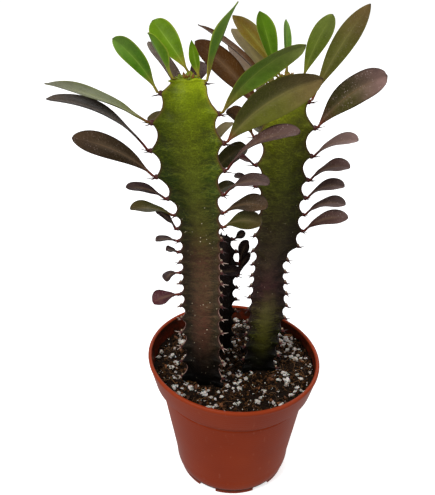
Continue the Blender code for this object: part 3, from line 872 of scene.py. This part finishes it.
def free_spot(rng, size, taken=()):
    """A random place on the bed, clear of the stems and of the places taken, or None."""
    r = (wall_radius(MIX_TOP) - MIX_GAP - size * 0.5) * math.sqrt(rng.uniform(0, 1))
    a = rng.uniform(0, 2 * math.pi)
    x, y, _ = squeezed((r * math.cos(a), r * math.sin(a), MIX_TOP))
    for stem in STEMS:
        foot = stem.middle(0)
        if math.hypot(x - foot.x, y - foot.y) < stem.reach(0) * STEM_CLEAR + size * 0.4:
            return None
    for other_x, other_y, other in taken:
        if math.hypot(x - other_x, y - other_y) < GRAIN_CROWD * (size + other) / 2:
            return None
    return x, y, size


def scattered(rng, count, draw):
    """A free place for each of that many pieces, whose sizes in mm draw gives."""
    spots = []
    while len(spots) < count:
        spot = free_spot(rng, draw() * MM)
        if spot:
            spots.append(spot)
    return spots


def perlite_spots(rng):
    """Places for the perlite grains, which lie in drifts and hardly overlap."""
    spots = []
    for count, low, high in PERLITE:
        tries = made = 0
        while made < count and tries < count * 30:
            tries += 1
            spot = free_spot(rng, rng.uniform(low, high) * MM, spots)
            if not spot:
                continue
            drift = noise.noise((spot[0] / (13 * MM), spot[1] / (13 * MM), 5.3))
            if drift >= rng.uniform(-0.4, 0.1):
                made += 1
                spots.append(spot)
    return spots


def lumps(name, rng, divisions, spots, look, flat, rough, dent, sunk):
    """One mesh of uneven grains. spots holds (x, y, size) for each, and dent is the share with a hollow."""
    ball_points, ball_faces = sphere(divisions)
    points, faces, tints = [], [], []
    for x, y, size in spots:
        angle = rng.uniform(0, 6.3)
        spin = Matrix.Rotation(angle, 3, (rng.gauss(0, 1), rng.gauss(0, 1), rng.gauss(0, 1) + 0.01))
        scale = Vector((1, rng.uniform(*flat), rng.uniform(*flat))) * size / 2
        seed = Vector((rng.uniform(0, 50), rng.uniform(0, 50), rng.uniform(0, 50)))
        hollow = rng.random() < dent
        centre = Vector((x, y, bed_height(x, y) + size * (0.5 - sunk) * 0.7))
        tints += [rng.random()] * len(ball_points)
        faces += [tuple(len(points) + i for i in f) for f in ball_faces]
        for p in map(Vector, ball_points):
            swell = 1 + rough * noise.noise(p * 1.3 + seed) + rough * 0.6 * noise.noise(p * 3.1 + seed)
            if hollow:
                swell *= 1 - 0.75 * smooth(0.55, 0.98, p.z)
            local = p * scale * swell
            points.append(centre + (local if hollow else spin @ local))
    add_piece(name, points, faces, look, {"tint": tints}, turned=False)


class Heap:
    """Small closed shapes that become one mesh, with a tint for each point."""

    def __init__(self):
        self.points, self.faces, self.tints = [], [], []

    def tube(self, path, radii, sides, tints):
        """A tube along a path, with a radius and a tint for each point of the path."""
        self.faces += ring_faces(len(path), sides, len(self.points))
        for k, (here, radius, tint) in enumerate(zip(path, radii, tints)):
            ahead = (path[min(k + 1, len(path) - 1)] - path[max(k - 1, 0)]).normalized()
            side = ahead.cross(Vector((0.31, 0.17, 0.94))).normalized()
            up = side.cross(ahead)
            for i in range(sides):
                a = 2 * math.pi * i / sides
                self.points.append(here + (side * math.cos(a) + up * math.sin(a)) * radius)
            self.tints += [tint] * sides

    def ball(self, shape, centre, axes, seed):
        """A slightly uneven ball on three half axes."""
        points, faces = shape
        self.faces += [tuple(len(self.points) + i for i in f) for f in faces]
        for p in map(Vector, points):
            swell = 1 + 0.25 * noise.noise(p * 1.7 + seed)
            self.points.append(centre + (axes[0] * p.x + axes[1] * p.y + axes[2] * p.z) * swell)
        self.tints += [0.3] * len(points)

    def add(self, name, look, slot, turned=True):
        if self.points:
            add_piece(name, self.points, self.faces, look, {"tint": self.tints}, turned=turned)


def build_fibres(rng, look):
    """Thin coir fibres that lie in curves on the mix."""
    heap = Heap()
    edge = wall_radius(MIX_TOP) - MIX_GAP
    steps = 9
    for _ in range(FIBRES):
        r, a = edge * math.sqrt(rng.random()) * 0.96, rng.uniform(0, 2 * math.pi)
        here = Vector((r * math.cos(a), r * math.sin(a), 0))
        heading = rng.uniform(0, 2 * math.pi)
        bend = rng.uniform(-0.25, 0.25)
        stride = rng.uniform(3 * MM, 9 * MM) / steps
        thick = rng.uniform(0.07 * MM, 0.17 * MM)
        path = []
        for k in range(steps + 1):
            if here.xy.length > edge - 1 * MM:
                break
            arch = math.sin(math.pi * k / steps) * rng.uniform(0.6, 1) * 0.7 * MM
            path.append(Vector((here.x, here.y, bed_height(here.x, here.y) + thick + 0.3 * MM + arch)))
            heading += bend + rng.uniform(-0.2, 0.2)
            here += Vector((math.cos(heading), math.sin(heading), 0)) * stride
        count = len(path)
        if count > 3:
            radii = [thick * (0.4 + 0.6 * math.sin(math.pi * (k + 0.5) / count)) for k in range(count)]
            heap.tube(path, radii, 5, [rng.random()] * count)
    heap.add("coir_fibres", look, "potting_mix", turned=False)


def build_mix_pieces():
    """Everything loose on the mix: perlite grains, peat crumbs, bark chips, coir fibres and perlite dust."""
    rng = random.Random(11)
    lumps("perlite_grains", rng, 3, perlite_spots(rng), perlite_look(), (0.5, 0.85), 0.75, 0.4, 0.25)
    crumbs = scattered(rng, CRUMBS, lambda: rng.uniform(0.8, 2.6) * rng.uniform(0.55, 1))
    look = soil_look("peat_crumb", (22, 12, 6), (104, 68, 36))
    lumps("peat_crumbs", rng, 2, crumbs, look, (0.45, 1), 0.75, 0, 0.25)
    chips = scattered(rng, CHIPS, lambda: rng.uniform(2.5, 6))
    look = wood_look("bark_wood", (70, 36, 18), (140, 84, 40))
    lumps("bark_chips", rng, 2, chips, look, (0.18, 0.5), 0.4, 0, 0.5)
    build_fibres(rng, wood_look("coir_fibre", (70, 42, 22), (158, 112, 62)))
    dust = scattered(rng, DUST, lambda: rng.uniform(0.5, 1.2))
    lumps("perlite_dust", rng, 1, dust, perlite_look(), (0.6, 1), 0.3, 0, 0)


def rib_profile(edge, reach, half):
    """(along the rib's direction, beside it) from the rib's edge to the middle of the face."""
    half = min(half, reach * 0.22)
    hip = (0.485 * reach, 0.28 * reach)
    waist_x = (edge - half + hip[0]) / 2
    waist_y = (half + hip[1]) / 2 - 0.05 * reach
    return (
        (edge, 0),
        (edge - 0.3 * half, 0.75 * half),
        (edge - 1.2 * half, half),
        (waist_x, max(waist_y, half)),
        hip,
        (0.27 * reach, 0.467 * reach),
    )


def closed_curve(points):
    """A smooth closed curve through points, in even pieces between them. Points are rows of an array."""
    before, after, later = np.roll(points, 1, 0), np.roll(points, -1, 0), np.roll(points, -2, 0)
    square = 2 * before - 5 * points + 4 * after - later
    cube = 3 * points - before - 3 * after + later
    shares = np.arange(CURVE_PIECES) / CURVE_PIECES
    runs = [points + ((after - before) * t + square * t**2 + cube * t**3) / 2 for t in shares]
    return np.stack(runs, 1).reshape(-1, points.shape[1])


def build_stem(stem, look, paler):
    """The skin in rings: each rib's edge runs out to its teeth, and low folds run in from each tooth. Painted
    light makes its colour lighter towards paler and painted shade darker away from it; paler is 1 for +X, -1
    for -X and 0 for neither."""
    heights = list(np.arange(-BURIED + 1 * MM, stem.height, RING_STEP))
    heights = [h for h in heights if all(abs(h - n) > 0.2 * MM for n in stem.nodes)] + list(stem.nodes)
    heights = sorted([*heights, stem.height])
    heights[-1] -= 0.3 * MM
    top = stem.middle(heights[-1])
    points, marks = [], {"height": [], "face": [], "tooth": [], "side": []}
    for height in heights:
        middle = stem.middle(height)
        above = max(height, 0)
        reach = stem.reach(height)
        if height > 0.96 * stem.height:
            reach = max(reach, stem.crown - 0.8 * MM * smooth(0.992, 1, height / stem.height))
        taper = 1 - 0.2 * max(-height, 0) / BURIED
        ring = []
        for rib in range(RIBS):
            phase, gap = stem.phase(rib, above)
            share = phase % 1
            next_phase, _ = stem.phase((rib + 1) % RIBS, above)
            last_phase, _ = stem.phase((rib - 1) % RIBS, above)
            crown = height > stem.teeth[rib][-1]
            near = 0 if crown else math.exp(-min(share, 1 - share) * gap / (1.5 * MM))
            dip = 0 if crown else SCALLOP_SHARE * gap * (1 - (2 * share - 1) ** 2)
            profile = rib_profile(reach - dip, reach, RIB_EDGE / 2 * (1 + 0.7 * near))
            out = stem.rib_direction(rib, height)
            side = Vector((out.y, -out.x, 0))
            for sign, beside in ((-1, last_phase), (1, next_phase)):
                half = []
                for k, (x, y) in enumerate(profile):
                    wave = math.cos(2 * math.pi * (phase + 0.35 * k / 5))
                    other = math.cos(2 * math.pi * (beside + 0.35))
                    wave = wave * (1 - 0.5 * smooth(3, 5, k)) + other * 0.5 * smooth(3, 5, k)
                    swell = 1 + 0.35 * MM / max(reach, 6 * MM) * wave * smooth(0, 3, k)
                    spot = middle + (out * x + side * (sign * y)) * swell * taper
                    half.append((*spot, k / 5, wave))
                ring += half[:0:-1] if sign < 0 else half[:-1]
        for x, y, z, f, w in closed_curve(np.array(ring)):
            push = Vector((x - middle.x, y - middle.y, 0)).normalized() if reach else Vector()
            bump = noise.fractal((x / (3.2 * MM), y / (3.2 * MM), z / (4 * MM)), 1, 2, 3) * 0.2 * MM
            notch = 0.55 * MM * math.sin(5.5 * math.atan2(y - middle.y, x - middle.x)) - 0.55 * MM
            z += notch * smooth(0.985, 1, height / stem.height)
            points.append((x + push.x * bump, y + push.y * bump, z))
            marks["face"].append(min(max(f, 0), 1))
            marks["tooth"].append(w)
            marks["height"].append(above / stem.height)
            # side: where a point lies across the stem, signed by paler, for the painted light and shade.
            marks["side"].append(paler * (x - middle.x) / max(reach, 1 * MM))
    count = len(points) // len(heights)
    rim = points[-count:]
    for size, drop in ((0.97, 0.12), (0.88, 0.5), (0.6, 1.2), (0.3, 1.7), (0.1, 1.8)):
        for x, y, z in rim:
            points.append((top.x + (x - top.x) * size, top.y + (y - top.y) * size, z - drop * MM))
            for key, value in zip(marks, (1, max(marks["face"][-count], size < 0.9), 0, 0)):
                marks[key].append(value)
    faces = ring_faces(len(heights) + 5, count)
    add_piece(stem.name + "_skin", points, faces, look, marks, [stem.name])


def build_margins(stem, look, look_below):
    """The horny line along each rib's edge, in look above half the stem's height and in look_below under it:
    red-brown above and pale below on the left stem, red-brown above and dark below on the right stem,
    near-black painted shade on the back stem.
    """
    rng = random.Random(stem.name + "margin")
    heaps = {"margins": Heap(), "lower_margins": Heap()}
    split = 0.5 * stem.height
    for rib in range(RIBS):
        runs = {group: [] for group in heaps}
        height = 1.5 * MM
        while height < stem.teeth[rib][-1]:
            phase, gap = stem.phase(rib, height)
            dip = SCALLOP_SHARE * gap * (1 - (2 * (phase % 1) - 1) ** 2)
            out = stem.rib_direction(rib, height)
            edge = stem.middle(height) + out * (stem.reach(height) - dip - 0.12 * MM)
            near = math.exp(-min(phase % 1, 1 - phase % 1) * gap / (1 * MM))
            thick = (0.24 + 0.16 * near + rng.uniform(-0.04, 0.04)) * MM
            runs["lower_margins" if height < split else "margins"].append((edge, thick, near))
            height += MARGIN_STEP
        for group, run in runs.items():
            if len(run) > 3:
                path, radii, nears = zip(*run)
                tints = [min(1, 0.25 + 0.75 * (1 - near) * rng.uniform(0.5, 1)) for near in nears]
                heaps[group].tube(path, radii, 6, tints)
    heaps["margins"].add(stem.name + "_margins", look, stem.name)
    heaps["lower_margins"].add(stem.name + "_lower_margins", look_below, stem.name)


def build_teeth(stem, looks):
    """The hard pad, the pair of spines and the leaf scar at each tooth."""
    rng = random.Random(stem.name)
    shape = sphere(2)
    heaps = {name: Heap() for name in looks}
    dark, pale, scar = heaps.values()
    for node in range(BUD_NODES, len(stem.nodes)):
        tooth, out = stem.tooth(node)
        share = stem.nodes[node] / stem.height
        side = Vector((out.y, -out.x, 0))
        up = Vector((0, 0, MM))
        small = 0.8 if share < 0.62 else 1
        axes = [small * axis for axis in (1.35 * MM * out, 0.95 * MM * side, 1.45 * up)]
        dark.ball(shape, tooth - out * 0.35 * MM, axes, Vector((rng.uniform(0, 50), 0, 0)))
        if node not in LEAVES[stem.name]:
            axes = (0.6 * MM * out, 0.65 * MM * side, 0.6 * up)
            scar.ball(shape, tooth - out * 0.45 * MM + 1.1 * up, axes, Vector((rng.uniform(0, 50), 0, 0)))
        bleached = stem.name == "stem_left" and node % RIBS != 2 and share < 0.5
        spines = pale if bleached and rng.random() < 0.7 else dark
        for sign in (-1, 1):
            length = (rng.uniform(2.8, 4.2) + 2.4 * smooth(0.5, 0.8, share)) * MM
            spread = math.radians(rng.uniform(18, 34)) * sign
            fall = math.radians(rng.uniform(-12, 22))
            aim = (out * math.cos(spread) + side * math.sin(spread)) * math.cos(fall)
            aim += Vector((0, 0, math.sin(fall)))
            bend = rng.uniform(-0.5, 0.3) * up
            start = tooth - 0.5 * up - out * 0.2 * MM
            path = [start + aim * length * t + bend * t * t for t in (0, 0.25, 0.5, 0.75, 1)]
            spines.tube(path, [r * MM for r in (0.45, 0.34, 0.25, 0.15, 0.03)], 6, (0, 1 / 3, 2 / 3, 1, 1))
    for name, heap in heaps.items():
        heap.add(f"{stem.name}_{name}", looks[name], stem.name)


def leaf_width(width, share, outline):
    """A narrow base, the widest place, then a rounded end."""
    peak, slow, late, round_end = OUTLINES[outline]
    if share < peak:
        part = math.sin(math.pi / 2 * share / peak) ** slow
    else:
        part = max(1 - ((share - peak) / (1 - peak)) ** late, 0) ** round_end
    return max(width * part, STALK * (1 - 0.25 * share) if share < 0.5 else 0.4 * MM)


def leaf_colour(tone, share, u):
    """The leaf's colour at a share of its length and at u across it, from -1 at its left to 1, with painted
    light and shade on each half.
    """
    stalk, blade, tip, left_half_light, right_half_light, _, young = TONES[tone]
    young_base, old_base = (140, 110, 40), (126, 42, 30)
    base = young_base if young > 0.6 else old_base
    stalk, blade, tip, base = (np.array(srgb(*c)) for c in (stalk, blade, tip, base))
    colour = stalk + (blade - stalk) * smooth(0.1, 0.4, share)
    colour = colour + (tip - colour) * smooth(0.5, 1.0, share)
    # Painted light and shade: one half of the blade lighter and the other darker, by the tone's two half
    # factors.
    half_light = left_half_light + (right_half_light - left_half_light) * smooth(-0.1, 0.1, u)
    colour = colour * (1 + (half_light - 1) * smooth(0.12, 0.3, share))
    red = 1 - smooth(0.02, 0.18, share)
    colour = colour + (base - colour) * red
    hook = 1 - smooth(0.0, 0.05, share)
    colour = colour + (np.array(srgb(84, 20, 16)) - colour) * hook * 0.8
    return colour + (np.array(srgb(50, 28, 20)) - colour) * smooth(0.982, 1, share)


def build_leaf(stem, node, row, look):
    """A blade folded along its midrib: a round stalk, a groove above and a keel under the midrib."""
    length, width, rise, droop, swing, roll, tone, outline = row
    length, width = length * MM, width * MM
    rng = random.Random(f"{stem.name}{node}")
    dust, young = TONES[tone][5:]
    tooth, out = stem.tooth(node)
    heading = math.atan2(out.y, out.x) + math.radians(swing)
    ahead = Vector((math.cos(heading), math.sin(heading), 0))
    level = Vector((ahead.y, -ahead.x, 0))
    point = tooth + out * (STALK / 2 + LEAF_GAP)
    root = point - out * 1.5 * MM
    ripple = rng.uniform(0.25, 0.6) * MM * min(width / (10 * MM), 1)
    ripple_phase = rng.uniform(0, 6.3)
    columns = [math.cos(math.pi * i / (HALF_COLUMNS * 2)) for i in range(HALF_COLUMNS * 2 + 1)]
    points = []
    marks = {"across": [], "along": [], "upper": [], "dust": [], "young": [], "tone": []}
    before = 0
    for k in range(STATIONS + 1):
        share = 1 - (1 - k / STATIONS) ** 1.12
        pitch = math.radians(rise - droop * (before + share) / 2)
        course = ahead * math.cos(pitch) + Vector((0, 0, math.sin(pitch)))
        point = point + course * length * (share - before)
        before = share
        pitch = math.radians(rise - droop * share)
        turned = math.radians(roll)
        normal = Vector((0, 0, math.cos(pitch))) - ahead * math.sin(pitch)
        side = level * math.cos(turned) + normal * math.sin(turned)
        face = normal * math.cos(turned) - level * math.sin(turned)
        centre = point if k else root
        half = leaf_width(width, share, outline) / 2
        blade = smooth(0.1, 0.3, share) * smooth(1.0, 0.93, share)
        thick = (1.3 * (1 - blade) + 0.6 * blade) * MM * (1 - 0.55 * share)
        for upper in (1, 0):
            for u in columns if upper else columns[-2:0:-1]:
                bow = abs(u) ** 1.25 * BLADE_FOLD * half * (0.4 + 0.6 * blade) + 0.1 * half * u**4 * blade
                wave = math.sin(ripple_phase + 11 * share + (2.1 if u > 0 else 0))
                bow += ripple * abs(u) ** 3 * wave * blade
                depth = thick / 2 * math.sqrt(max(1 - u * u * (0.72 + 0.28 * smooth(0.8, 1, abs(u))), 0))
                if upper:
                    skin = depth - 0.16 * MM * math.exp(-((u / 0.09) ** 2)) * blade
                else:
                    skin = -depth - 0.3 * MM * math.exp(-((u / 0.12) ** 2)) * blade * (1 - 0.7 * share)
                points.append(centre + side * (half * u) + face * (bow + skin))
                values = (u, share, upper, dust * (0.35 + 0.65 * share), young, leaf_colour(tone, share, u))
                for key, value in zip(marks, values):
                    marks[key].append(value)
    name = f"{stem.name.replace('stem', 'leaf')}_{node:02d}"
    faces = ring_faces(STATIONS + 1, HALF_COLUMNS * 4)
    add_piece(name + "_blade", points, faces, look, marks, [name])


def build_crown(stem, scales):
    """The bud scales of the growing tip: brown on the two front stems, near-black painted shade on the back
    stem.
    """
    rng = random.Random(stem.name + "crown")
    top = stem.middle(stem.height)
    heap = Heap()
    for _ in range(BUD_SCALES):
        a = rng.uniform(0, 2 * math.pi)
        round_tip = Vector((math.cos(a), math.sin(a), 0))
        aim = (round_tip * 0.5 + Vector((0, 0, 1))).normalized()
        start = top + round_tip * rng.uniform(0.5, 4) * MM - Vector((0, 0, 1.2 * MM))
        length = rng.uniform(1.2, 2.4) * MM
        path = [start + aim * length * t + Vector((0, 0, 0.4 * MM)) * t * t for t in (0, 0.3, 0.6, 0.85, 1)]
        heap.tube(path, [r * MM for r in (0.5, 0.55, 0.42, 0.2, 0.04)], 7, [rng.random()] * 5)
    heap.add(stem.name + "_bud_scales", scales, stem.name)


def build_studio():
    """A pale floor, soft lights and the camera."""
    look = Look("studio_floor", Roughness=0.9)
    pale = look.ramp(look.noise(0.3, 2), ((0.3, (246, 246, 246)), (0.7, (250, 250, 250))))
    look.wears(Base_Color=pale, Emission_Color=(1, 1, 1, 1), Emission_Strength=FLOOR_GLOW)
    corners = [(x * FLOOR_SPAN, y * FLOOR_SPAN, 0) for x, y in ((-1, -1), (1, -1), (1, 1), (-1, 1))]
    floor = stand("floor", new_mesh("floor", corners, [(0, 1, 2, 3)], look.material))
    floor.visible_diffuse = False
    floor.visible_glossy = False
    world = bpy.data.worlds.new("studio")
    world.use_nodes = True
    backdrop = world.node_tree.nodes["Background"]
    backdrop.inputs["Color"].default_value = (1, 1, 1, 1)
    backdrop.inputs["Strength"].default_value = WORLD_LIGHT
    bpy.context.scene.world = world
    for name, (place, size, power) in LAMPS.items():
        lamp = bpy.data.lights.new(name, "AREA")
        lamp.shape = "DISK"
        lamp.size = size
        lamp.energy = power
        made = stand(name, lamp)
        made.location = place
        made.rotation_euler = (LIT_POINT - Vector(place)).to_track_quat("-Z", "Y").to_euler()
    camera = bpy.data.cameras.new("camera")
    camera.lens = CAMERA_LENS
    camera.clip_start = 0.01
    made = stand("camera", camera)
    made.matrix_world = Matrix.Translation(CAMERA_PLACE)
    for angle, axis in CAMERA_TURNS:
        made.matrix_world = made.matrix_world @ Matrix.Rotation(math.radians(angle), 4, axis)
    bpy.context.scene.camera = made
    bpy.context.scene.view_settings.view_transform = "Standard"


def stem_looks():
    """Each stem's colours from the mix (0) to its tip (1). The near-black stops at 0 are painted shade at the
    foot.
    """
    left = stem_look(
        "skin_left",
        centre=(
            (0.0, (6, 4, 4)), (0.1, (40, 23, 14)), (0.22, (93, 57, 43)), (0.38, (95, 68, 48)),
            (0.47, (85, 54, 39)), (0.55, (77, 69, 27)), (0.7, (81, 87, 19)), (0.86, (85, 92, 6)),
            (0.95, (111, 128, 3)), (1.0, (142, 158, 12)),
        ),
        flank=(
            (0.0, (6, 4, 4)), (0.1, (23, 18, 11)), (0.22, (48, 41, 27)), (0.38, (62, 50, 35)),
            (0.47, (59, 43, 29)), (0.55, (51, 51, 20)), (0.7, (49, 65, 13)), (0.86, (68, 79, 7)),
            (0.95, (108, 124, 4)), (1.0, (148, 166, 12)),
        ),
        edge=(
            (0.0, (16, 8, 5)), (0.3, (61, 37, 30)), (0.6, (66, 44, 27)), (0.85, (78, 58, 20)),
            (0.93, (113, 94, 32)), (1.0, (152, 152, 48)),
        ),
        marble=(
            (0.0, (13, 10, 6)), (0.25, (92, 75, 52)), (0.5, (83, 75, 40)), (0.7, (97, 106, 33)),
            (0.9, (123, 138, 16)), (1.0, (160, 176, 24)),
        ),
        specks=0.9,
    )
    right = stem_look(
        "skin_right",
        centre=(
            (0.0, (16, 16, 4)), (0.12, (74, 71, 18)), (0.22, (83, 77, 40)), (0.31, (60, 33, 33)),
            (0.4, (63, 49, 38)), (0.55, (54, 47, 20)), (0.68, (66, 69, 13)), (0.85, (88, 90, 13)),
            (1.0, (147, 159, 21)),
        ),
        flank=(
            (0.0, (9, 9, 3)), (0.12, (28, 28, 11)), (0.22, (41, 32, 23)), (0.31, (41, 25, 25)),
            (0.4, (46, 36, 28)), (0.55, (46, 40, 17)), (0.68, (57, 60, 9)), (0.85, (90, 92, 15)),
            (1.0, (164, 172, 28)),
        ),
        edge=(
            (0.0, (14, 9, 6)), (0.3, (44, 26, 26)), (0.6, (58, 36, 24)), (0.85, (72, 50, 22)),
            (1.0, (110, 96, 34)),
        ),
        marble=(
            (0.0, (24, 24, 8)), (0.15, (86, 88, 26)), (0.3, (67, 44, 40)), (0.5, (74, 67, 38)),
            (0.7, (94, 99, 24)), (1.0, (165, 177, 34)),
        ),
        specks=0.3,
    )
    # The back stem is near-black all over: painted shade.
    dark = ((0.0, (8, 5, 4)), (1.0, (30, 20, 18)))
    lighter = ((0.0, (12, 8, 6)), (1.0, (44, 30, 28)))
    back = stem_look("skin_back", centre=lighter, flank=dark, edge=dark, marble=lighter, specks=0.0)
    return left, right, back


def main():
    build_studio()
    build_pot()
    build_bed()
    build_mix_pieces()
    teeth = {
        "dark_thorns": spine_look("thorn_dark", (96, 26, 18), (18, 9, 9)),
        "pale_thorns": spine_look("thorn_pale", (150, 96, 80), (206, 186, 172)),
        "leaf_scars": spine_look("leaf_scar", (156, 132, 104), (190, 170, 140)),
    }
    bud = spine_look("bud_scale", (150, 84, 30), (196, 160, 70))
    red = spine_look("rib_edge", (84, 40, 26), (96, 62, 36))
    horn = spine_look("rib_edge_pale", (96, 56, 46), (176, 136, 122))
    night = spine_look("back_edge", (30, 16, 14), (52, 34, 30))
    leaf = leaf_look("leaf_skin")
    # paler gives where each stem's painted light falls: 1 towards +X, -1 towards -X, 0 for none.
    for stem, look, paler in zip(STEMS, stem_looks(), (1, -1, 0)):
        build_stem(stem, look, paler)
        # On the back stem the near-black back_edge look of the margins and bud scales is painted shade.
        shaded = stem.name == "stem_back"
        build_margins(stem, night if shaded else red, horn if stem.name == "stem_left" else night)
        build_teeth(stem, teeth)
        build_crown(stem, night if shaded else bud)
        for node, row in LEAVES[stem.name].items():
            build_leaf(stem, node, row, leaf)


main()
bpy.context.view_layer.update()
